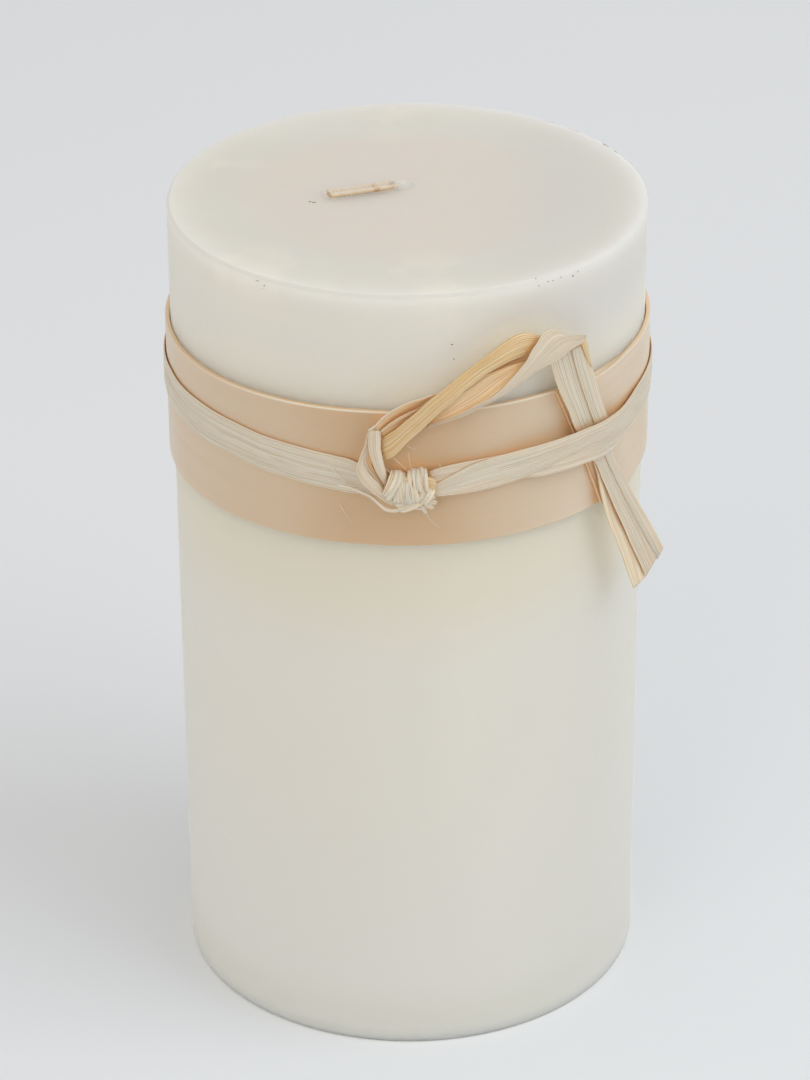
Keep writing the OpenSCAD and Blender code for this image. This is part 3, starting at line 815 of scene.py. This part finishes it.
# ---- wick
def wick_braid():
    """Flat braid of eight yarns that comes up through the wax, folds over and lies in its groove."""
    bend_r = 0.62
    rise_from, lie_at = WAX_H - 4, WAX_H + 0.32
    up_to = lie_at - bend_r
    arc = np.radians(np.linspace(0, 90, 9))
    line = [(0.0, z) for z in np.arange(rise_from, up_to, 0.25)]
    line += [(bend_r * (1 - math.cos(a)), up_to + bend_r * math.sin(a)) for a in arc]
    line += [(s, lie_at) for s in np.arange(bend_r + 0.2, 13.2, 0.2)]
    line = np.array(line)
    run = distance_along(line)
    at = np.arange(0, run[-1], 0.16)
    s, z = np.interp(at, run, line[:, 0]), np.interp(at, run, line[:, 1])
    centre = np.stack([WICK_ROOT[0] + s * TIP_AWAY[0], WICK_ROOT[1] + s * TIP_AWAY[1], z], 1)
    along = unit(np.gradient(centre, axis=0))
    across = np.array([*TIP_ACROSS, 0])
    out = np.cross(across, along)
    parts = []
    yarns, pitch, yarn_r, ring = 8, 6.4, 0.26, 10
    # Thinner where the mound of wax holds it
    shrink = np.where(s < 1.2, 0.8, 1.0)[:, None]
    for k in range(yarns):
        phase = 2 * math.pi * (at / pitch + k / yarns)
        swing = (WICK_W / 2 - yarn_r) * np.sin(phase)
        weave = (WICK_T / 2 - yarn_r) * np.cos(phase * 2 + math.pi / 4)
        path = centre + across[None, :] * swing[:, None] + out * weave[:, None]
        way = unit(np.gradient(path, axis=0))
        side = unit(np.cross(way, out))
        verts = tube(path, side * shrink * yarn_r * 1.5, np.cross(side, way) * shrink * yarn_r, ring)
        caps = np.array([[0, 1, 2, 9], [9, 2, 3, 8], [8, 3, 4, 7], [7, 4, 5, 6]])
        last = caps[:, ::-1] + len(verts) - ring
        quads = ring_faces(len(path), ring)[:, [0, 3, 2, 1]]
        parts.append((verts, np.concatenate([quads, caps, last]), np.zeros_like(verts)))
    return mesh_object("wick_braid", *join(parts))


# ---- band
# How far the band sits above its mean height round the candle: azimuth, rise
BAND_WAVE = rows_of("""
    36 0, 60 0, 180 0, 240 -0.2, 270 -0.5, 290 -0.7, 310 -0.65, 330 -0.35, 350 0, 430 0""")
# Azimuths of the slanted outer end at the band's top and foot, of the step down on to the wax, and of the
# inner end once round
SEAM_TOP, SEAM_FOOT = 35.1, 50.2
STEP_FROM, STEP_TO = 51.5, 68.0
INNER_END = 427.0


def veneer_strip():
    """The veneer, wound once round with its slanted outer end lapped over the inner end."""
    def stepped(az):
        return smooth(np.clip((az - STEP_FROM) / (STEP_TO - STEP_FROM), 0, 1))

    az = np.concatenate([np.arange((SEAM_TOP + SEAM_FOOT) / 2, 80, 0.5), np.arange(80, 400, 1.5),
                         np.arange(400, INNER_END, 0.5), [INNER_END]])
    stand = BAND_GAP + VENEER_T / 2 + LAP_LIFT * (1 - stepped(az))
    centre = spots(np.stack([az, table(az, BAND_WAVE), stand], 1))
    run = distance_along(centre)
    across = 60
    u = np.concatenate([[-1, -0.997, -0.985], np.linspace(-0.96, 0.96, across - 6), [0.985, 0.997, 1]])
    half = VENEER_T / 2 * np.where(np.abs(u) > 0.999, 0.72, np.where(np.abs(u) > 0.99, 0.93, 1.0))
    # The slant of the outer end, as a turn about Z that fades out along the strip
    slant = math.radians((SEAM_FOOT - SEAM_TOP) / 2)
    angle = np.radians(az)[:, None] + np.clip(1 - run / 40, 0, 1)[:, None] * slant * u[None, :]
    us, ss = np.meshgrid(u * BAND_H / 2, run)
    fine = 0.006 * streaks(us, ss, 0.8, 14, 51)
    # The inner end is pared to a long wedge that fills the room under the outer layer
    wedge = stepped(az - 360)[:, None]
    verts = []
    for way, pared in ((1, VENEER_T * wedge), (-1, 0)):
        r = (WAX_R + stand)[:, None] + way * half[None, :] + fine * (1 - wedge) - pared
        verts.append(np.stack([r * np.sin(angle), -r * np.cos(angle), centre[:, 2:] - us], -1).reshape(-1, 3))
    strip = np.stack([us, ss, np.full_like(us, 3.0)], -1).reshape(-1, 3)
    return mesh_object("veneer_strip", np.concatenate(verts), slab_faces(len(az), across),
                       np.concatenate([strip, strip + 5]))


# ---- raffia
# The strap's two plies round the candle: azimuth, height and width. Then the standoff of the outer ply.
OUTER_PLY = rows_of("""
    4.2 -0.4 2.6, 5.5 -1.2 2.2, 8 -0.8 3.1, 10.6 -0.4 4, 14.6 0.3 5.2, 19.5 0.9 5.7, 25 1.5 5.5, 30 2.2 4.8,
    36 3.1 3.9, 42 3.7 3.3, 50 3.5 3.4, 59 3 3.4, 70 2.9 3.8, 90 2.5 5, 130 2 6.4, 180 1.8 6.6, 240 2.4 6.4,
    285 3 5.8, 298 2.7 5.7, 315 2.5 5.6, 331 1.7 5.7, 346 0.9 5.6, 351 0.3 4.4, 356 0 3""")
INNER_STRAP = rows_of("""
    4.2 1 2.2, 6 1.2 3, 9 1.3 3.6, 13 1.5 3.8, 19.5 1.4 4.4, 30 1 5.2, 42 1.2 5.4, 52 0.9 5.8, 60 0.9 6,
    76 1.3 6.4, 130 1 6.6, 180 0.9 6.8, 240 1.4 6.8, 285 2.1 6.4, 298 1.8 6.2, 315 1.6 5.9, 331 0.8 5.8,
    346 0 5.4, 351 -0.4 4.2, 356 -0.6 2.8""")
STRAP_STAND = rows_of("""
    4 3, 5.5 2.95, 8 2.6, 10.6 2.4, 14.6 2.2, 19.5 2.2, 25 2.5, 30 3, 36 3.8, 42 4.2, 50 4, 54 3.2, 59 2.1,
    64 1.5, 72 1.25, 346 1.25, 352 2.1, 356 2.8""")


def strap_ply(plies, lift, seed):
    """One ply of the strap, once round the band from knot to knot, closer to the wax by lift."""
    az = np.concatenate([np.arange(4.2, 60, 2.0), np.arange(60, 340, 5.0), np.arange(340, 356.1, 2.0)])
    stand = np.mean([table(az + shift, STRAP_STAND) for shift in (-5, -2.5, 0, 2.5, 5)], axis=0)
    stand = stand - lift * np.clip(stand - 0.9, 0.5, 1)
    rows = np.stack([az, table(az, plies), stand, table(az, plies, 2), az], 1)
    return leaf(rows, 0.8, 66, 0.3, pleat=0.03, rib=0.085, stray=0.6, seed=seed, pleat_cell=1.4)


def oval_ply(centre, out, up, tall, deep, width, thick, seed):
    """One ply of a turn of the knot: a ribbed closed oval in the plane of up and out."""
    n = 56
    a = np.linspace(0, 2 * math.pi, n, endpoint=False)[:, None]
    reach = up * (tall - thick) / 2 * np.cos(a) + out * (deep - thick) / 2 * np.sin(a)
    path = centre + reach
    along = unit(np.roll(path, -1, 0) - np.roll(path, 1, 0))
    face = unit(reach - (reach * along).sum(1, keepdims=True) * along)
    side = np.cross(face, along)
    run = np.linspace(0, math.pi * (tall + deep) / 2, n)
    wide = width * (1 + 0.16 * np.sin(a[:, 0] * 2 + seed))
    across = max(8, int(width * COLUMNS))
    return sweep(path, side, face, wide, run, across, thick, rib=0.09, cup=-0.3, seed=seed, closed=True)


def knot_turn(az, rise, stand, tall, deep, wide, lean, count, seed, loose):
    """One turn of the knot, made of several narrow plies that lie side by side a little unevenly."""
    rng = np.random.default_rng(seed)
    out = outward(az)
    centre = out * (WAX_R + stand) + [0, 0, BAND_MID + rise]
    parts = []
    for k in range(count):
        tip = math.radians(lean + loose * rng.uniform(-6, 6))
        sway = math.radians(loose * rng.uniform(-7, 7))
        up = outward(az + 90) * math.sin(tip) + [0, 0, math.cos(tip)]
        across = np.cross(up, out)
        ahead = unit(out * math.cos(sway) + across * math.sin(sway))
        place = (k - (count - 1) / 2) * wide / count
        spot = centre + across * (place + rng.uniform(-0.06, 0.06)) + out * rng.uniform(-0.1, 0.12) * loose
        bulge = 1 - 0.16 * (2 * place / wide) ** 2
        high = tall * bulge * rng.uniform(0.95, 1.05)
        far = deep * bulge * rng.uniform(0.95, 1.04)
        parts.append(oval_ply(spot, ahead, up, high, far, wide / count * rng.uniform(1.5, 2.2), 0.3, seed + k))
    return join(parts)


def make_raffia(pale, gold, shade, bright):
    """Every piece of the tie."""

    def piece(name, parts, material, *nodes, shaded=(), second=shade):
        """A piece of one or more ribbons; those in shaded have the second material."""
        parts = parts if isinstance(parts, list) else [parts]
        made = finish_piece(mesh_object(name, *join(parts + list(shaded))), material, "tie", nodes)
        if shaded:
            made.data.materials.append(second)
            plain = sum(len(part[1]) for part in parts)
            which = np.arange(len(made.data.polygons)) >= plain
            made.data.polygons.foreach_set("material_index", which.astype(np.int32))
        return made

    upper = piece("strand_upper", two_edges(STRAND_LEAF, rib=0.13, pleat=0.1, cup=-0.2, seed=91),
                  gold, "upper_strand", second=bright,
                  shaded=[two_edges(UNDER_TAIL, rib=0.07, pleat=0.03, stray=0.4, seed=92)])
    lower = piece("strand_lower", [two_edges(WRAP_LEAF, rib=0.11, pleat=0.06, cup=-0.12, seed=95),
                                   two_edges(TAIL_LEFT, rib=0.11, pleat=0.02, stray=0.3, seed=96),
                                   two_edges(TAIL_RIGHT, rib=0.11, pleat=0.02, stray=0.3, seed=97),
                                   two_edges(LOOP_OUTER, rib=0.11, pleat=0.06, cup=-0.15, seed=98)],
                  pale, "lower_strand",
                  shaded=[two_edges(FOLD_UPPER, rib=0.08, cup=0.15, seed=103),
                          two_edges(INNER_FACE, rib=0.12, pleat=0.08, cup=0.2, seed=101)])
    for made, route in ((upper, UPPER_ROUTE), (lower, LOWER_ROUTE)):
        path = spots(curve(route)) * MM
    piece("strap_outer", strap_ply(OUTER_PLY, 0, 11), pale, "strap_outer_ply")
    piece("strap_inner", strap_ply(INNER_STRAP, 0.36, 23), pale, "strap_inner_ply")
    piece("strand_inner_ply", two_edges(INNER_PLY, rib=0.1, pleat=0.05, seed=102), shade)
    piece("fold_plies", [two_edges(FOLD_LOWER, rib=0.04, cup=0.15, seed=104),
                         two_edges(LOOP_INNER, rib=0.1, seed=105)], shade)
    piece("corner_fold", two_edges(CORNER_FOLD, rib=0.03, seed=106, thick=0.25), gold)
    piece("knot_leaf", two_edges(KNOT_LEAF, rib=0.08, pleat=0.03, cup=-0.1, seed=81), pale, "loop_leaf")
    piece("loop_lowest", two_edges(LOOP_LOWEST, rib=0.04, seed=107, thick=0.35), pale)
    piece("fold_rims", [fibre(rows[:, :3] + [0, 0.1, 0.1], 0.17) for rows in (FOLD_UPPER, FOLD_LOWER, LOOP_INNER)],
          pale)
    for name, *turn, node in TURNS:
        piece(name, knot_turn(*turn), bright, *([node] if node else []))
    piece("knot_heart", leaf(HEART, 0.3, 44, 1.5, rib=0.1, seed=660), gold)
    piece("knot_fray", [leaf(rows, 0.2, 14, 0.25, rib=0.05, seed=71 + k) for k, rows in enumerate(FRAY)],
          pale, "knot_frayed_end")
    piece("loose_fibres", [fibre(rows) for rows in FIBRES], pale)


# ---- studio
def area_light(name, place, target, size, power, colour):
    data = bpy.data.lights.new(name, "AREA")
    data.shape = "DISK"
    data.size = size
    data.energy = power
    data.color = colour
    lamp = bpy.data.objects.new(name, data)
    lamp.location = place
    lamp.rotation_euler = (Vector(target) - Vector(place)).to_track_quat("-Z", "Y").to_euler()
    bpy.context.scene.collection.objects.link(lamp)


def make_studio():
    """A pale floor, an even bright surround, a soft key light from the right and a fill from the left."""
    size = 3.0
    mesh = bpy.data.meshes.new("floor")
    mesh.from_pydata([(-size, -size, 0), (size, -size, 0), (size, size, 0), (-size, size, 0)], [], [(0, 1, 2, 3)])
    floor = bpy.data.objects.new("floor", mesh)
    bpy.context.scene.collection.objects.link(floor)
    mesh.materials.append(floor_material())
    world = bpy.data.worlds.new("studio")
    bpy.context.scene.world = world
    world.use_nodes = True
    back = world.node_tree.nodes["Background"]
    back.inputs["Color"].default_value = (0.985, 0.965, 0.935, 1)
    back.inputs["Strength"].default_value = 0.73
    area_light("key", (0.83, -0.34, 1.0), (0, 0, 0.06), 1.15, 5.9, (0.84, 0.92, 0.98))
    area_light("fill", (-0.6, -1.1, 0.5), (0, 0, 0.06), 0.8, 2.5, (1.0, 0.965, 0.93))
    bpy.context.scene.view_settings.view_transform = "Standard"


make_camera()
make_raffia(
    raffia_material("raffia_pale", (0.74, 0.65, 0.53), (0.665, 0.565, 0.43), (0.51, 0.375, 0.24), 0.6),
    raffia_material("raffia_gold", (0.775, 0.605, 0.38), (0.7, 0.48, 0.22), (0.47, 0.27, 0.1)),
    # raffia_shade is a copy of the raffia with painted shade, for the leaves' inner faces that lie in shadow
    raffia_material("raffia_shade", (0.82, 0.6, 0.38), (0.72, 0.46, 0.22), (0.5, 0.27, 0.1)),
    raffia_material("raffia_bright", (0.85, 0.74, 0.585), (0.77, 0.64, 0.465), (0.52, 0.35, 0.19)))
finish_piece(wax_body(), wax_material(), "candle", ["wax_pillar"])
finish_piece(wax_specks(), dirt_and_shade_material(), "candle")
wick = wick_material()
braid = wick_braid()
braid.data.materials.append(wick)
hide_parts("wick_tip")
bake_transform(braid)
finish_piece(veneer_strip(), veneer_material(), "band", ["veneer_band"])
for node, material in (("wick_core", wick), ("wick_clip", steel_material()), ("lap_glue", glue_material())):
    NODES[node].data.materials.clear()
    NODES[node].data.materials.append(material)
make_studio()
